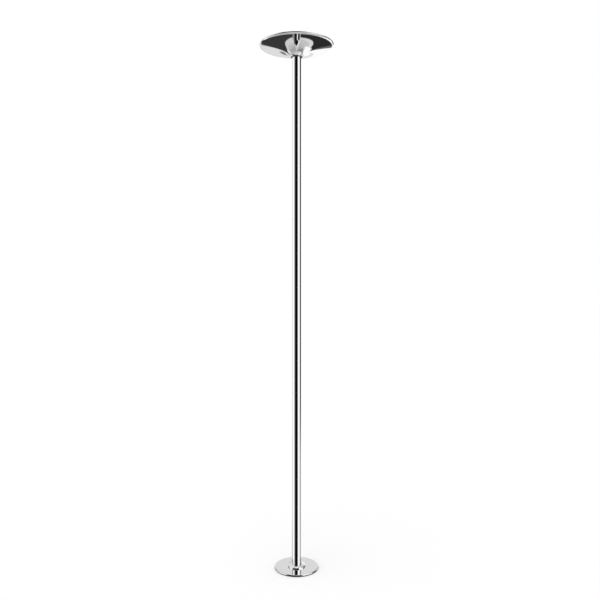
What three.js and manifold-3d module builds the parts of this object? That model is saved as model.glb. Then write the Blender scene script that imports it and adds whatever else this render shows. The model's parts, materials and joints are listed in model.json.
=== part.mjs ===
// A spinning tension pole for pole fitness: a chromed tube in three lengths that turns on ball
// bearings between a round floor base and a spun ceiling dome. A nut on a screwed spindle in the
// foot lifts the whole pole against the ceiling, and two set screws lock its spin.
// Millimetres, +Z up, origin at the centre of the floor pad's underside. The rear is +Y.

import * as THREE from "three";
import { mergeVertices } from "three/addons/utils/BufferGeometryUtils.js";
import Module from "manifold-3d";

const wasm = await Module();
wasm.setup();

// The whole pole
const totalHeight = 2590;
const poleDiameter = 45;
const poleWall = 1.5;
const sectionNames = ["lower_tube", "middle_tube", "upper_tube"];
const seamGap = 0.3;
const adjustTravel = 50;

// Clearances and cuts
const fitGap = 0.1;
const turnedGap = 0.3;
const runningGap = 0.5;
const overrun = 2;
const weldDistance = 1e-4;

// Facets round a full turn
const discFacets = 48;
const tubeFacets = 40;
const turnedFacets = 20;
const screwFacets = 10;
const eyeFacets = 6;
const quarterTurn = Math.PI / 2;
const halfTurn = Math.PI;
const fullTurn = 2 * Math.PI;

// Floor base
const floorPadThickness = 4;
const floorPadInset = 1;
const gripGrooveWidth = 4;
const gripGrooveDepth = 0.8;
const gripGrooveShare = 0.8;
const basePlateDiameter = 214;
const basePlateThickness = 5.5;
const plateEdgeRadius = 2.5;
const plateEdgeSteps = 3;
const plateChamfer = 0.6;

// Collar over the pole's foot
const collarFootDiameter = 87;
const collarRimDiameter = 62;
const collarHeight = 10;
const collarWall = 1.6;
const collarFootHeight = 6;
const collarFootRadius = 1.6;
const collarRimRadius = 2;
const collarRimSteps = 2;
const collarDish = 1.2;
const collarGap = 0.8;

// Screwed spindle and its stop
const spindleDiameter = 16;
const spindleChamfer = 1.5;
const spindleFootDiameter = 56;
const spindleFootThickness = 5;
const spindleFootChamfer = 1;
const footClearance = 1;
const stopWasherDiameter = 24;
const stopWasherThickness = 2.5;
const stopClearance = 1.5;
const stopScrewDiameter = 8;
const stopScrewLength = 16;
const stopHeadDiameter = 13;
const stopHeadHeight = 8;
const stopSocketWidth = 6;

// Ball bearings, one size throughout
const bearingBore = 25;
const bearingDiameter = 37;
const bearingWidth = 7;
const raceWall = 1.8;
const ballDiameter = 3.5;
const ballGap = 0.15;
const ballCount = 10;
const cageWall = 0.8;
const cageHeight = 2.4;
const grooveSteps = 2;

// Nut hub, its bearing housing and the retaining clips
const hubFlangeThickness = 3.5;
const hubEndLength = 2;
const bearingSpacing = 44;
const housingEndLip = 2;
const housingRelief = 0.9;
const clipThickness = 1.5;
const clipWidth = 2.4;
const clipGrooveDepth = 0.7;
const clipOpening = Math.PI / 5;
const clipLugRadius = 1.6;
const clipSteps = 9;
const turnedChamfer = 1;

// Spin lock set screws
const lockScrewDiameter = 8;
const lockScrewLength = 7.5;
const lockScrewTravel = 1.2;
const lockSocketWidth = 4;
const lockSocketDepth = 3.5;
const lockAngles = [-Math.PI / 6, Math.PI / 6];

// Expanding joiners inside the tube seams
const joinerLength = 150;
const joinerWall = 5.5;
const joinerSlot = 3;
const joinerSteps = 8;
const jackOffset = 45;
const jackScrewDiameter = 10;
const jackSeatDepth = 1.5;
const jackSocketWidth = 5;
const jackSocketDepth = 6;
const keyHoleDiameter = 8;

// Countersunk screws in the base and in the dome
const flatScrewDiameter = 5;
const flatHeadDiameter = 10;
const flatHeadHeight = 2.4;
const flatSocketWidth = 3;
const flatSocketDepth = 1.6;
const flatScrewSink = 0.3;
const flatScrewCount = 4;
const baseScrewPitch = 19;
const domeScrewPitch = 29;
const screwTipGap = 0.6;

// Ceiling dome
const domeDiameter = 368;
const domeDepth = 61.5;
const domeWall = 1.2;
const domeEdgeRadius = 2;
const domeEdgeSteps = 2;
const domeLipWidth = 9;
const domeThroatDiameter = 57;
const domeShoulderRadius = 14;
const domeShoulderStart = (-81 * Math.PI) / 180;
const domeShoulderEnd = (-30 * Math.PI) / 180;
const domeShoulderSteps = 3;
const trumpetSteps = 5;
const trumpetThroatShares = [0.16, 0.64];
const trumpetRimShares = [0.59, 0.82];
const ceilingPlateThickness = 3;
const ceilingPlateInset = 3.3;
const ceilingPadProud = 3;
const ceilingPadInset = 5;
const spigotFlangeDiameter = 80;
const spigotFlangeThickness = 5;
const spigotShoulderLength = 12.5;
const tubeTopGap = 4.5;
const topHousingSeat = 8;
const throatBushHeight = 7;
const throatBushLip = 1.5;

// Finishes: colour, roughness and metalness
const chrome = [0xe8eaec, 0.08, 1];
const turnedSteel = [0x9c9fa3, 0.32, 1];
const bearingSteel = [0xb4b7bb, 0.18, 1];
const brass = [0xb8924a, 0.35, 1];
const blackSteel = [0x2c2d2f, 0.5, 0.8];
const zincSteel = [0xaeb0b0, 0.4, 1];
const aluminium = [0xb9bbbe, 0.42, 1];
const blackRubber = [0x1a1a1b, 0.9, 0];
const blackNylon = [0x252527, 0.6, 0];

// Radii and heights that several pieces share
const poleRadius = poleDiameter / 2;
const tubeBore = poleRadius - poleWall;
const baseRadius = basePlateDiameter / 2;
const spindleRadius = spindleDiameter / 2;
const journalRadius = bearingBore / 2;
const shoulderRadius = journalRadius + raceWall;
const seatRadius = bearingDiameter / 2 + fitGap;
const pitchRadius = (bearingBore + bearingDiameter) / 4;
const ballRadius = ballDiameter / 2;
const clipRadius = journalRadius - clipGrooveDepth + fitGap + clipWidth;
const clipRoom = clipThickness + 2 * fitGap;
const insideTube = insideRound(tubeBore, tubeFacets, fitGap);
const plateBottom = floorPadThickness;
const plateTop = plateBottom + basePlateThickness;
const footTop = plateTop + spindleFootThickness;
const hubBottom = footTop + footClearance;
const lowBearing = hubFlangeThickness;
const highBearing = lowBearing + bearingWidth + bearingSpacing;
const hubClip = highBearing + bearingWidth;
const hubLength = hubClip + clipRoom + hubEndLength;
const spindleTop = hubBottom + hubLength + adjustTravel + stopClearance;
const lockHeight = hubBottom + (lowBearing + bearingWidth + highBearing) / 2;
const lockTipRadius = journalRadius + fitGap + lockScrewTravel;
const rimPlane = totalHeight - ceilingPadProud;
const ceilingPlateTop = rimPlane - domeWall - turnedGap;
const spigotTop = ceilingPlateTop - ceilingPlateThickness;
const flangeBottom = spigotTop - spigotFlangeThickness;
const topBearing = flangeBottom - spigotShoulderLength - bearingWidth;
const tubeTop = flangeBottom - tubeTopGap;
const seams = sectionNames.length - 1;
const sectionLength = (tubeTop - hubBottom - seams * seamGap) / sectionNames.length;
const lipRadius = domeDiameter / 2 - domeEdgeRadius - domeLipWidth;
const screwEnd = flatScrewSink + turnedGap + screwTipGap;
const baseScrewLength = basePlateThickness + spindleFootThickness - screwEnd;
const domeScrewLength = ceilingPlateThickness + spigotFlangeThickness - screwEnd;

// The largest radius that clears the flats of a faceted bore by a gap.
function insideRound(radius, facets, gap) {
  return radius * Math.cos(Math.PI / facets) - gap;
}

// The bore radius whose flats clear a round piece of this radius.
function aroundRound(radius, facets) {
  return radius / Math.cos(Math.PI / facets);
}

// Points [radius, height] along a circular arc in the plane of a turned outline.
function arc(radius, height, bend, from, to, steps) {
  return Array.from({ length: steps + 1 }, (_, step) => {
    const angle = from + ((to - from) * step) / steps;
    return [radius + bend * Math.cos(angle), height + bend * Math.sin(angle)];
  });
}

// A solid turned about Z. The outline runs outwards along the bottom, up the outside and back in.
function turned(outline, facets) {
  const points = outline.map(([radius, height]) => new THREE.Vector2(radius, height));
  return new THREE.LatheGeometry(points, facets).rotateX(quarterTurn);
}

// A turned ring: its outline runs the same way and closes on itself down the bore.
function ring(outline, facets) {
  return turned([...outline, outline[0]], facets);
}

// A round bar along Z from a height upwards, for tapped holes and bores.
function bar(radius, from, length, facets) {
  const geometry = new THREE.CylinderGeometry(radius, radius, length, facets);
  return geometry.rotateX(quarterTurn).translate(0, 0, from + length / 2);
}

// A hexagonal bar along Z, given by the width across its flats.
function hexBar(width, from, length) {
  return bar(aroundRound(width / 2, 6), from, length, 6);
}

// A round bar that leaves the axis towards the rear, turned by an angle about Z.
function radialBar(radius, from, to, height, angle) {
  const geometry = new THREE.CylinderGeometry(radius, radius, to - from, screwFacets);
  return geometry.translate(0, (from + to) / 2, height).rotateZ(angle);
}

function toSolid(geometry) {
  const bare = geometry.clone();
  bare.deleteAttribute("normal");
  bare.deleteAttribute("uv");
  const merged = mergeVertices(bare, weldDistance);
  const vertProperties = merged.attributes.position.array;
  const triVerts = new Uint32Array(merged.index.array);
  return new wasm.Manifold(new wasm.Mesh({ numProp: 3, vertProperties, triVerts }));
}

function toGeometry(solid) {
  const { vertProperties, triVerts } = solid.getMesh();
  const geometry = new THREE.BufferGeometry();
  geometry.setAttribute("position", new THREE.BufferAttribute(vertProperties, 3));
  geometry.setIndex(new THREE.BufferAttribute(triVerts, 1));
  geometry.computeVertexNormals();
  return geometry;
}

function cut(geometry, cutters) {
  const start = toSolid(geometry);
  return toGeometry(cutters.reduce((left, cutter) => left.subtract(toSolid(cutter)), start));
}

function join(geometries) {
  const [first, ...others] = geometries.map(toSolid);
  return toGeometry(others.reduce((whole, other) => whole.add(other), first));
}

function piece(name, geometry, [color, roughness, metalness]) {
  const material = new THREE.MeshStandardMaterial({ color, roughness, metalness });
  const mesh = new THREE.Mesh(geometry, material);
  mesh.name = name;
  return mesh;
}

function placed(object, x, y, z) {
  object.position.set(x, y, z);
  return object;
}

// Angles of evenly spaced pieces round the axis, the first an eighth of a turn off the rear.
function screwAngles(count) {
  return Array.from({ length: count }, (_, index) => ((index + 1 / 2) * fullTurn) / count);
}

// A countersunk screw standing on its head face, with a hexagonal socket in the head.
function flatScrew(length) {
  const shank = flatScrewDiameter / 2;
  const outline = [
    [0, 0],
    [flatHeadDiameter / 2, 0],
    [shank, flatHeadHeight],
    [shank, length],
    [0, length],
  ];
  const socket = hexBar(flatSocketWidth, -overrun, overrun + flatSocketDepth);
  return cut(turned(outline, screwFacets), [socket]);
}

// The hole for a countersunk screw, opening at the face that its head is let into.
function flatScrewHole(length) {
  const shank = flatScrewDiameter / 2 + turnedGap;
  const head = flatHeadDiameter / 2 + turnedGap;
  const outline = [
    [0, -overrun],
    [head, -overrun],
    [head, flatScrewSink],
    [shank, flatScrewSink + flatHeadHeight],
    [shank, flatScrewSink + length + turnedGap],
    [0, flatScrewSink + length + turnedGap],
  ];
  return turned(outline, screwFacets);
}

// A set screw with its tip at the origin and a hexagonal socket in its outer end.
function setScrew(diameter, length, socketWidth, socketDepth) {
  const radius = diameter / 2;
  const tip = Math.min(turnedChamfer, radius / 2);
  const outline = [
    [0, 0],
    [radius - tip, 0],
    [radius, tip],
    [radius, length],
    [0, length],
  ];
  const socket = hexBar(socketWidth, length - socketDepth, socketDepth + overrun);
  return cut(turned(outline, screwFacets), [socket]);
}

// A retaining clip for a groove in a journal: a ring with an opening and a drilled lug each side.
function retainingClip() {
  const outer = clipRadius;
  const inner = clipRadius - clipWidth;
  const start = clipOpening / 2;
  const shape = new THREE.Shape();
  shape.absarc(0, 0, outer, start, fullTurn - start, false);
  shape.absarc(0, 0, inner, fullTurn - start, start, true);
  const depth = clipThickness;
  const options = { depth, bevelEnabled: false, curveSegments: clipSteps };
  const band = new THREE.ExtrudeGeometry(shape, options);
  const lugPitch = inner + clipLugRadius;
  const lugs = [start, -start].map((angle) =>
    bar(clipLugRadius, 0, depth, screwFacets)
      .translate(lugPitch * Math.cos(angle), lugPitch * Math.sin(angle), 0),
  );
  const eyes = [start, -start].map((angle) =>
    bar(clipLugRadius / 2, -overrun, depth + 2 * overrun, eyeFacets)
      .translate(lugPitch * Math.cos(angle), lugPitch * Math.sin(angle), 0),
  );
  return cut(join([band, ...lugs]), eyes);
}

// The inner race of a bearing, its ball groove an arc about the ball's centre.
function innerRace() {
  const reach = ballRadius + ballGap;
  const spread = Math.acos((pitchRadius - shoulderRadius) / reach);
  const groove = arc(pitchRadius, bearingWidth / 2, reach, halfTurn + spread, halfTurn - spread, grooveSteps);
  const outline = [
    [journalRadius + fitGap, 0],
    [shoulderRadius, 0],
    ...groove,
    [shoulderRadius, bearingWidth],
    [journalRadius + fitGap, bearingWidth],
  ];
  return ring(outline, turnedFacets);
}

// The outer race: its bore is widened so that the flats of its facets clear the balls too.
function outerRace() {
  const reach = ballRadius + ballGap;
  const land = bearingDiameter / 2 - raceWall;
  const spread = Math.acos((land - pitchRadius) / reach);
  const groove = arc(pitchRadius, bearingWidth / 2, reach, spread, -spread, grooveSteps);
  const bore = [[land, bearingWidth], ...groove, [land, 0]];
  const outline = [
    [bearingDiameter / 2, 0],
    [bearingDiameter / 2, bearingWidth],
    ...bore.map(([radius, height]) => [aroundRound(radius, turnedFacets), height]),
  ];
  return ring(outline, turnedFacets);
}

// A ring of balls held in their cage.
function ballCage() {
  const middle = bearingWidth / 2;
  const inner = pitchRadius - cageWall / 2;
  const outer = pitchRadius + cageWall / 2;
  const cage = ring(
    [
      [inner, middle - cageHeight / 2],
      [outer, middle - cageHeight / 2],
      [outer, middle + cageHeight / 2],
      [inner, middle + cageHeight / 2],
    ],
    ballCount,
  );
  const balls = Array.from({ length: ballCount }, (_, index) =>
    new THREE.IcosahedronGeometry(ballRadius)
      .translate(pitchRadius, 0, middle)
      .rotateZ((index * fullTurn) / ballCount),
  );
  return join([cage, ...balls]);
}

// The rubber pad under the base, with a shallow grip ring in its underside.
function floorPad() {
  const radius = baseRadius - floorPadInset;
  const groove = gripGrooveShare * radius;
  const outline = [
    [0, 0],
    [groove - gripGrooveWidth / 2, 0],
    [groove, gripGrooveDepth],
    [groove + gripGrooveWidth / 2, 0],
    [radius, 0],
    [radius, floorPadThickness],
    [0, floorPadThickness],
  ];
  return turned(outline, discFacets);
}

function basePlate() {
  const top = basePlateThickness;
  const middle = [baseRadius - plateEdgeRadius, top - plateEdgeRadius];
  const edge = arc(...middle, plateEdgeRadius, 0, quarterTurn, plateEdgeSteps);
  const outline = [[0, 0], [baseRadius - plateChamfer, 0], [baseRadius, plateChamfer], ...edge, [0, top]];
  const holes = screwAngles(flatScrewCount).map((angle) =>
    flatScrewHole(baseScrewLength)
      .translate(baseScrewPitch * Math.cos(angle), baseScrewPitch * Math.sin(angle), 0),
  );
  return cut(turned(outline, discFacets), holes);
}

// The collar is a shallow cone of sheet on an upright edge, its rounded rim dished in to the pole.
function baseCollar() {
  const foot = collarFootDiameter / 2;
  const rim = collarRimDiameter / 2;
  const bore = aroundRound(poleRadius + collarGap, tubeFacets);
  const edge = [foot - collarFootRadius, collarFootHeight - collarFootRadius];
  const slope = Math.atan2(collarHeight - collarFootHeight, foot - rim);
  const rimHeight = collarHeight - collarRimRadius;
  const outside = [
    [foot, 0],
    ...arc(...edge, collarFootRadius, 0, quarterTurn - slope, collarRimSteps),
    ...arc(rim, rimHeight, collarRimRadius, quarterTurn - slope, quarterTurn, collarRimSteps),
    [bore, collarHeight - collarDish],
  ];
  const inside = [
    [bore, collarHeight - collarDish - collarWall],
    [rim - collarWall / 2, collarHeight - collarWall],
    [foot - collarWall, collarFootHeight - collarWall],
    [foot - collarWall, 0],
  ];
  return ring([...outside, ...inside], tubeFacets);
}

// The spindle is a screwed rod on a round foot, tapped below for the base and above for the stop.
function spindle() {
  const foot = spindleFootDiameter / 2;
  const top = spindleTop - plateTop;
  const outline = [
    [0, 0],
    [foot, 0],
    [foot, spindleFootThickness - spindleFootChamfer],
    [foot - spindleFootChamfer, spindleFootThickness],
    [spindleRadius, spindleFootThickness],
    [spindleRadius, top - spindleChamfer],
    [spindleRadius - spindleChamfer, top],
    [0, top],
  ];
  const holes = screwAngles(flatScrewCount).map((angle) =>
    flatScrewHole(baseScrewLength)
      .translate(baseScrewPitch * Math.cos(angle), baseScrewPitch * Math.sin(angle), -basePlateThickness),
  );
  const depth = stopScrewLength - stopWasherThickness + screwTipGap;
  const tapped = bar(stopScrewDiameter / 2 + turnedGap, top - depth, depth + overrun, screwFacets);
  return cut(turned(outline, turnedFacets), [...holes, tapped]);
}

function stopWasher() {
  const bore = stopScrewDiameter / 2 + turnedGap;
  const outer = stopWasherDiameter / 2;
  const top = stopWasherThickness;
  return ring([[bore, 0], [outer, 0], [outer, top], [bore, top]], turnedFacets);
}

// The stop's cap screw, its head above the origin and its shank below.
function stopScrew() {
  const shank = stopScrewDiameter / 2;
  const head = stopHeadDiameter / 2;
  const outline = [
    [0, -stopScrewLength],
    [shank, -stopScrewLength],
    [shank, 0],
    [head, 0],
    [head, stopHeadHeight],
    [0, stopHeadHeight],
  ];
  const socket = hexBar(stopSocketWidth, stopHeadHeight / 2, stopHeadHeight);
  return cut(turned(outline, screwFacets), [socket]);
}

// The nut hub: flange, journal for both bearings and a clip groove, bored for the spindle.
function adjusterHub() {
  const bore = aroundRound(spindleRadius + turnedGap, turnedFacets);
  const groove = journalRadius - clipGrooveDepth;
  const outline = [
    [bore, 0],
    [shoulderRadius, 0],
    [shoulderRadius, hubFlangeThickness],
    [journalRadius, hubFlangeThickness],
    [journalRadius, hubClip],
    [groove, hubClip],
    [groove, hubClip + clipRoom],
    [journalRadius, hubClip + clipRoom],
    [journalRadius, hubLength - turnedChamfer / 2],
    [journalRadius - turnedChamfer / 2, hubLength],
    [bore, hubLength],
  ];
  return ring(outline, turnedFacets);
}

// The housing that both lower bearings press into, tapped at the rear for the lock screws.
function bearingHousing() {
  const bottom = lowBearing - housingEndLip;
  const low = lowBearing + bearingWidth;
  const top = highBearing + bearingWidth + housingEndLip;
  const relief = aroundRound(shoulderRadius + housingRelief, turnedFacets);
  const outline = [
    [seatRadius, bottom],
    [insideTube, bottom],
    [insideTube, top],
    [seatRadius, top],
    [seatRadius, highBearing],
    [relief, highBearing],
    [relief, low],
    [seatRadius, low],
  ];
  const height = lockHeight - hubBottom;
  const tapped = lockAngles.map((angle) =>
    radialBar(lockScrewDiameter / 2 + turnedGap, journalRadius, poleRadius, height, angle),
  );
  return cut(ring(outline, turnedFacets), tapped);
}

// One length of the chromed tube, with key holes through its rear wall at the given heights.
function tube(keyHoles, lockHoles) {
  const bore = tubeBore;
  const outline = [[bore, 0], [poleRadius, 0], [poleRadius, sectionLength], [bore, sectionLength]];
  const past = poleRadius + overrun;
  const holes = keyHoles.map((height) => radialBar(keyHoleDiameter / 2, pitchRadius, past, height, 0));
  const lockRadius = lockScrewDiameter / 2 + turnedGap;
  const locks = lockHoles.map((angle) =>
    radialBar(lockRadius, pitchRadius, past, lockHeight - hubBottom, angle),
  );
  const blank = ring(outline, tubeFacets);
  return cut(blank, [...holes, ...locks]);
}

// Half of an expanding joiner, facing the rear: a thick half shell beside the slot.
function joinerHalf() {
  const outer = insideTube;
  const inner = insideTube - joinerWall;
  const outerStart = Math.asin(joinerSlot / 2 / outer);
  const innerStart = Math.asin(joinerSlot / 2 / inner);
  const shape = new THREE.Shape();
  shape.absarc(0, 0, outer, outerStart, halfTurn - outerStart, false);
  shape.absarc(0, 0, inner, halfTurn - innerStart, innerStart, true);
  const options = { depth: joinerLength, bevelEnabled: false, curveSegments: joinerSteps };
  return new THREE.ExtrudeGeometry(shape, options).translate(0, 0, -joinerLength / 2);
}

// The rear half is tapped right through for its jack screws, and the front half has their seats.
function joinerRear() {
  const holes = [-jackOffset, jackOffset].map((height) =>
    radialBar(jackScrewDiameter / 2 + turnedGap, 0, poleRadius, height, 0),
  );
  return cut(joinerHalf(), holes);
}

function joinerFront() {
  const seat = insideTube - joinerWall + jackSeatDepth;
  const seats = [-jackOffset, jackOffset].map((height) =>
    radialBar(jackScrewDiameter / 2 + turnedGap, 0, seat, height, 0),
  );
  return cut(joinerHalf(), seats).rotateZ(halfTurn);
}

// The trumpet outside of the dome from its throat over the turned-up shoulder to its edge, below
// the rim plane at zero. The shoulder's arc runs into the edge's at the shoulder's end angle.
function domeOutside() {
  const throat = domeThroatDiameter / 2;
  const edgeCentre = domeDiameter / 2 - domeEdgeRadius;
  const inward = domeShoulderRadius - domeEdgeRadius;
  const shoulderMiddle = [
    edgeCentre - inward * Math.cos(domeShoulderEnd),
    -domeEdgeRadius - inward * Math.sin(domeShoulderEnd),
  ];
  const edge = [
    ...arc(...shoulderMiddle, domeShoulderRadius, domeShoulderStart, domeShoulderEnd, domeShoulderSteps),
    ...arc(edgeCentre, -domeEdgeRadius, domeEdgeRadius, domeShoulderEnd, 0, domeEdgeSteps).slice(1),
    [edgeCentre, 0],
  ];
  const [[shoulder, shoulderHeight]] = edge;
  const reach = shoulder - throat;
  const rise = shoulderHeight + domeDepth;
  const trumpet = new THREE.CubicBezierCurve(
    new THREE.Vector2(throat, -domeDepth),
    new THREE.Vector2(throat + trumpetThroatShares[0] * reach, trumpetThroatShares[1] * rise - domeDepth),
    new THREE.Vector2(throat + trumpetRimShares[0] * reach, trumpetRimShares[1] * rise - domeDepth),
    new THREE.Vector2(shoulder, shoulderHeight),
  );
  const flare = trumpet.getPoints(trumpetSteps).slice(0, -1).map(({ x, y }) => [x, y]);
  return [...flare, ...edge, [lipRadius, 0]];
}

// The same outline moved by the wall thickness to its left, point by point.
function offsetOutline(outline, wall) {
  return outline.map(([radius, height], index) => {
    const [fromRadius, fromHeight] = outline[Math.max(index - 1, 0)];
    const [toRadius, toHeight] = outline[Math.min(index + 1, outline.length - 1)];
    const run = Math.hypot(toRadius - fromRadius, toHeight - fromHeight);
    const across = -(toHeight - fromHeight) / run;
    const up = (toRadius - fromRadius) / run;
    return [radius + wall * across, height + wall * up];
  });
}

function domeShell() {
  const outside = domeOutside();
  const inside = offsetOutline(outside, domeWall).reverse();
  return ring([...outside, ...inside], discFacets);
}

// The load plate under the ceiling pad, held by the dome's lip and countersunk from above.
function ceilingPlate() {
  const radius = domeDiameter / 2 - ceilingPlateInset;
  const top = ceilingPlateThickness;
  const blank = turned([[0, 0], [radius, 0], [radius, top], [0, top]], discFacets);
  const holes = screwAngles(flatScrewCount).map((angle) =>
    flatScrewHole(domeScrewLength)
      .rotateX(halfTurn)
      .translate(domeScrewPitch * Math.cos(angle), domeScrewPitch * Math.sin(angle), top),
  );
  return cut(blank, holes);
}

function ceilingPad() {
  const radius = lipRadius - ceilingPadInset;
  const top = totalHeight - ceilingPlateTop;
  const outline = [[0, 0], [radius, 0], [radius, top - plateChamfer], [radius - plateChamfer, top], [0, top]];
  return turned(outline, discFacets);
}

// The spigot that hangs from the load plate into the top bearing. Its origin is its top face.
function topSpigot() {
  const flange = spigotFlangeDiameter / 2;
  const shoulder = -spigotFlangeThickness - spigotShoulderLength;
  const clip = shoulder - bearingWidth;
  const end = clip - clipRoom - hubEndLength;
  const groove = journalRadius - clipGrooveDepth;
  const outline = [
    [0, end],
    [journalRadius - turnedChamfer / 2, end],
    [journalRadius, end + turnedChamfer / 2],
    [journalRadius, clip - clipRoom],
    [groove, clip - clipRoom],
    [groove, clip],
    [journalRadius, clip],
    [journalRadius, shoulder],
    [shoulderRadius, shoulder],
    [shoulderRadius, -spigotFlangeThickness],
    [flange, -spigotFlangeThickness],
    [flange, 0],
    [0, 0],
  ];
  const holes = screwAngles(flatScrewCount).map((angle) =>
    flatScrewHole(domeScrewLength)
      .rotateX(halfTurn)
      .translate(domeScrewPitch * Math.cos(angle), domeScrewPitch * Math.sin(angle), ceilingPlateThickness),
  );
  return cut(turned(outline, turnedFacets), holes);
}

// The seat in the tube's top for the outer race. Its origin is level with the race's underside.
function topHousing() {
  const bore = aroundRound(clipRadius + housingRelief, turnedFacets);
  const top = bearingWidth + housingEndLip;
  const outline = [
    [bore, -topHousingSeat],
    [insideTube, -topHousingSeat],
    [insideTube, top],
    [seatRadius, top],
    [seatRadius, 0],
    [bore, 0],
  ];
  return ring(outline, turnedFacets);
}

// The nylon bush in the dome's throat, its lip just below the sheet's edge. Its origin is the edge.
function throatBush() {
  const bore = aroundRound(poleRadius + runningGap, tubeFacets);
  const lip = domeThroatDiameter / 2;
  const body = lip - domeWall - turnedGap;
  const outline = [
    [bore, -turnedGap - throatBushLip],
    [lip, -turnedGap - throatBushLip],
    [lip, -turnedGap],
    [body, -turnedGap],
    [body, throatBushHeight],
    [bore, throatBushHeight],
  ];
  return ring(outline, tubeFacets);
}

function buildBase() {
  const base = new THREE.Group();
  base.add(piece("floor_pad", floorPad(), blackRubber));
  base.add(placed(piece("base_plate", basePlate(), chrome), 0, 0, plateBottom));
  base.add(placed(piece("base_collar", baseCollar(), chrome), 0, 0, plateTop));
  base.add(placed(piece("spindle", spindle(), zincSteel), 0, 0, plateTop));
  base.add(placed(piece("spindle_stop_washer", stopWasher(), zincSteel), 0, 0, spindleTop));
  const screwSeat = spindleTop + stopWasherThickness;
  base.add(placed(piece("spindle_stop_screw", stopScrew(), blackSteel), 0, 0, screwSeat));
  screwAngles(flatScrewCount).forEach((angle, index) => {
    const screw = piece(`base_screw_${index + 1}`, flatScrew(baseScrewLength), blackSteel);
    const x = baseScrewPitch * Math.cos(angle);
    const y = baseScrewPitch * Math.sin(angle);
    base.add(placed(screw, x, y, plateBottom + flatScrewSink));
  });
  return base;
}

function buildAdjuster() {
  const adjuster = placed(new THREE.Group(), 0, 0, hubBottom);
  adjuster.add(piece("adjuster_hub", adjusterHub(), turnedSteel));
  adjuster.add(placed(piece("low_inner_race", innerRace(), bearingSteel), 0, 0, lowBearing));
  adjuster.add(placed(piece("high_inner_race", innerRace(), bearingSteel), 0, 0, highBearing));
  adjuster.add(placed(piece("hub_clip", retainingClip(), blackSteel), 0, 0, hubClip + fitGap));
  adjuster.add(placed(piece("low_ball_cage", ballCage(), brass), 0, 0, lowBearing));
  adjuster.add(placed(piece("high_ball_cage", ballCage(), brass), 0, 0, highBearing));
  return adjuster;
}

// A joiner centred on its seam, with a jack screw above and below the seam.
function buildJoiner(number) {
  const joiner = new THREE.Group();
  joiner.add(piece(`joiner_${number}_rear_half`, joinerRear(), zincSteel));
  joiner.add(piece(`joiner_${number}_front_half`, joinerFront(), zincSteel));
  const tip = turnedGap - (insideTube - joinerWall + jackSeatDepth);
  const end = Math.sqrt(insideTube ** 2 - (jackScrewDiameter / 2) ** 2);
  const length = end - turnedGap - tip;
  [["low", -jackOffset], ["high", jackOffset]].forEach(([side, height]) => {
    const screw = setScrew(jackScrewDiameter, length, jackSocketWidth, jackSocketDepth);
    const jack = placed(piece(`joiner_${number}_${side}_screw`, screw, blackSteel), 0, tip, height);
    jack.rotation.x = -quarterTurn;
    joiner.add(jack);
  });
  return joiner;
}

function buildPole() {
  const pole = placed(new THREE.Group(), 0, 0, hubBottom);
  const pitch = sectionLength + seamGap;
  const nearEnd = jackOffset - seamGap / 2;
  sectionNames.forEach((name, index) => {
    const keyHoles = [];
    if (index > 0) keyHoles.push(nearEnd);
    if (index < seams) keyHoles.push(sectionLength - nearEnd);
    const lockHoles = index === 0 ? lockAngles : [];
    pole.add(placed(piece(name, tube(keyHoles, lockHoles), chrome), 0, 0, index * pitch));
    if (index > 0) pole.add(placed(buildJoiner(index), 0, 0, index * pitch - seamGap / 2));
  });
  pole.add(piece("bearing_housing", bearingHousing(), turnedSteel));
  pole.add(placed(piece("low_outer_race", outerRace(), bearingSteel), 0, 0, lowBearing));
  pole.add(placed(piece("high_outer_race", outerRace(), bearingSteel), 0, 0, highBearing));
  const top = topBearing - hubBottom;
  pole.add(placed(piece("top_housing", topHousing(), turnedSteel), 0, 0, top));
  pole.add(placed(piece("top_outer_race", outerRace(), bearingSteel), 0, 0, top));
  pole.add(placed(piece("top_ball_cage", ballCage(), brass), 0, 0, top));
  lockAngles.forEach((angle, index) => {
    const holder = placed(new THREE.Group(), 0, 0, lockHeight - hubBottom);
    holder.rotation.z = angle;
    const shape = setScrew(lockScrewDiameter, lockScrewLength, lockSocketWidth, lockSocketDepth);
    const screw = placed(piece(`lock_screw_${index + 1}`, shape, blackSteel), 0, lockTipRadius, 0);
    screw.rotation.x = -quarterTurn;
    pole.add(holder.add(screw));
  });
  return pole;
}

function buildDome() {
  const dome = new THREE.Group();
  dome.add(placed(piece("dome_shell", domeShell(), chrome), 0, 0, rimPlane));
  dome.add(placed(piece("ceiling_plate", ceilingPlate(), aluminium), 0, 0, spigotTop));
  dome.add(placed(piece("ceiling_pad", ceilingPad(), blackRubber), 0, 0, ceilingPlateTop));
  dome.add(placed(piece("top_spigot", topSpigot(), turnedSteel), 0, 0, spigotTop));
  dome.add(placed(piece("top_inner_race", innerRace(), bearingSteel), 0, 0, topBearing));
  const clipHeight = topBearing - fitGap - clipThickness;
  dome.add(placed(piece("spigot_clip", retainingClip(), blackSteel), 0, 0, clipHeight));
  dome.add(placed(piece("throat_bush", throatBush(), blackNylon), 0, 0, rimPlane - domeDepth));
  screwAngles(flatScrewCount).forEach((angle, index) => {
    const screw = piece(`spigot_screw_${index + 1}`, flatScrew(domeScrewLength), blackSteel);
    const x = domeScrewPitch * Math.cos(angle);
    const y = domeScrewPitch * Math.sin(angle);
    screw.rotation.x = halfTurn;
    dome.add(placed(screw, x, y, ceilingPlateTop - flatScrewSink));
  });
  return dome;
}

const dancePole = new THREE.Group();
dancePole.add(buildBase(), buildAdjuster(), buildPole(), buildDome());

export default dancePole;
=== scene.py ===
"""Finish and studio for a spinning tension pole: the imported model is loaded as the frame, each piece
is dressed or made again in full detail, and the floor, lights and camera are set round it."""

import functools
import json
import math
from collections import namedtuple

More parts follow.
